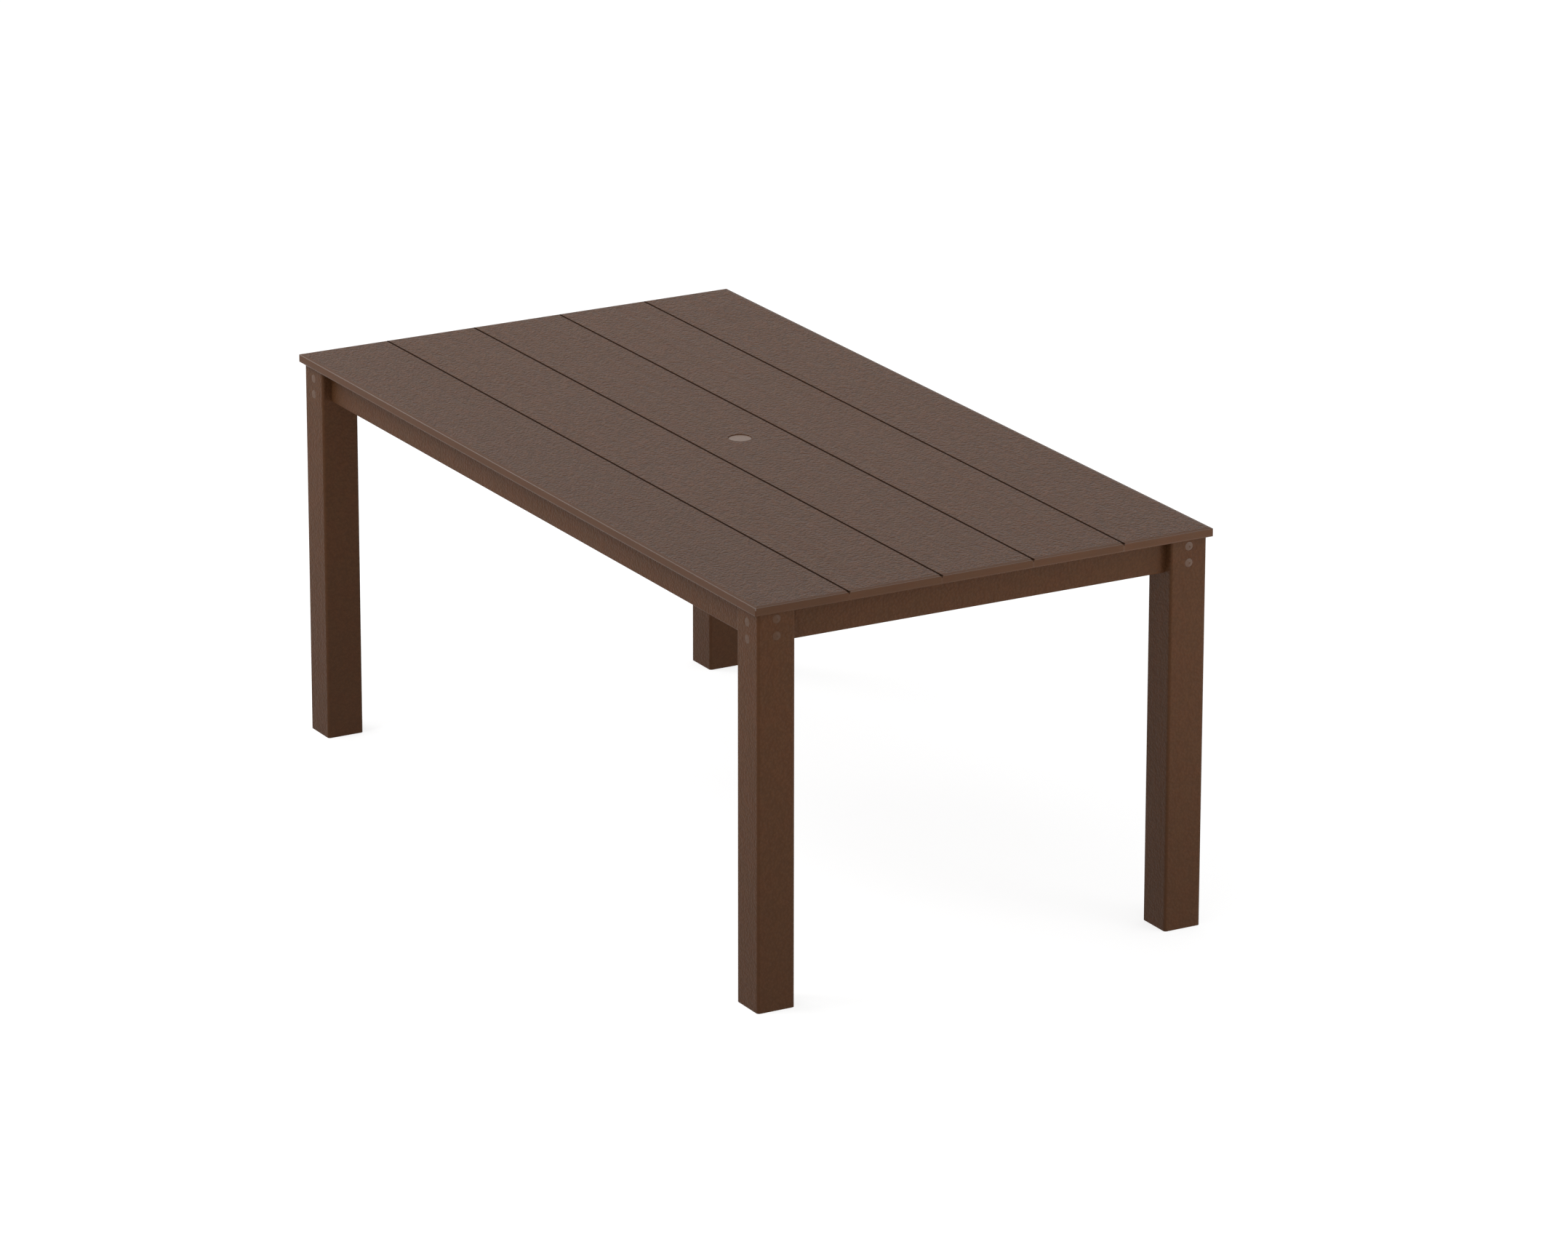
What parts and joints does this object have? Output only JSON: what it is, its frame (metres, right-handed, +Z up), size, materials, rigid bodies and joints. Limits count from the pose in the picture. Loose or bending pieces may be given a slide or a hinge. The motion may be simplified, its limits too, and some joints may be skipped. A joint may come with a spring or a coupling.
{
  "type": "picnic table",
  "caption": "Free-standing rectangular outdoor table of brown plastic lumber, with square legs, set-back aprons, a plank top and a capped umbrella hole.",
  "frame": {"origin": "centre of the footprint, on the floor under the middle of the table", "axes": "+X along the top boards (length), +Y across them (width), +Z up"},
  "size_m": [1.83, 0.96, 0.7745],
  "materials": {
    "top_lumber": "dark brown, fine leathery grain",
    "frame_lumber": "dark brown, fine leathery grain",
    "under_lumber": "dark brown, sawn and sanded",
    "cap_plastic": "lighter brown, smooth moulded",
    "plug_plastic": "brown, smooth moulded",
    "screw_steel": "stainless"
  },
  "bodies": {
    "table": {"cleat_screws": "screw_steel", "cross_batten_1": "under_lumber", "cross_batten_2": "under_lumber", "cross_batten_3": "under_lumber", "cross_batten_4": "under_lumber", "leg_back_left": "frame_lumber", "leg_back_right": "frame_lumber", "leg_front_left": "frame_lumber", "leg_front_right": "frame_lumber", "leg_screws": "screw_steel", "long_apron_back": "frame_lumber", "long_apron_front": "frame_lumber", "long_cleat_back": "under_lumber", "long_cleat_front": "under_lumber", "screw_plugs": "plug_plastic", "short_apron_left": "frame_lumber", "short_apron_right": "frame_lumber", "short_cleat_left": "under_lumber", "short_cleat_right": "under_lumber", "top_board_1": "top_lumber", "top_board_2": "top_lumber", "top_board_3": "top_lumber", "top_board_4": "top_lumber", "top_board_5": "top_lumber", "top_screws": "screw_steel", "umbrella_brace": "under_lumber"},
    "umbrella_cap": {"umbrella_cap": "cap_plastic"}
  },
  "joints": [
    {"name": "umbrella_cap_lift", "type": "slide", "parent": "table", "child": "umbrella_cap", "axis": [0, 0, 1], "range_m": [0, 0.1]}
  ]
}
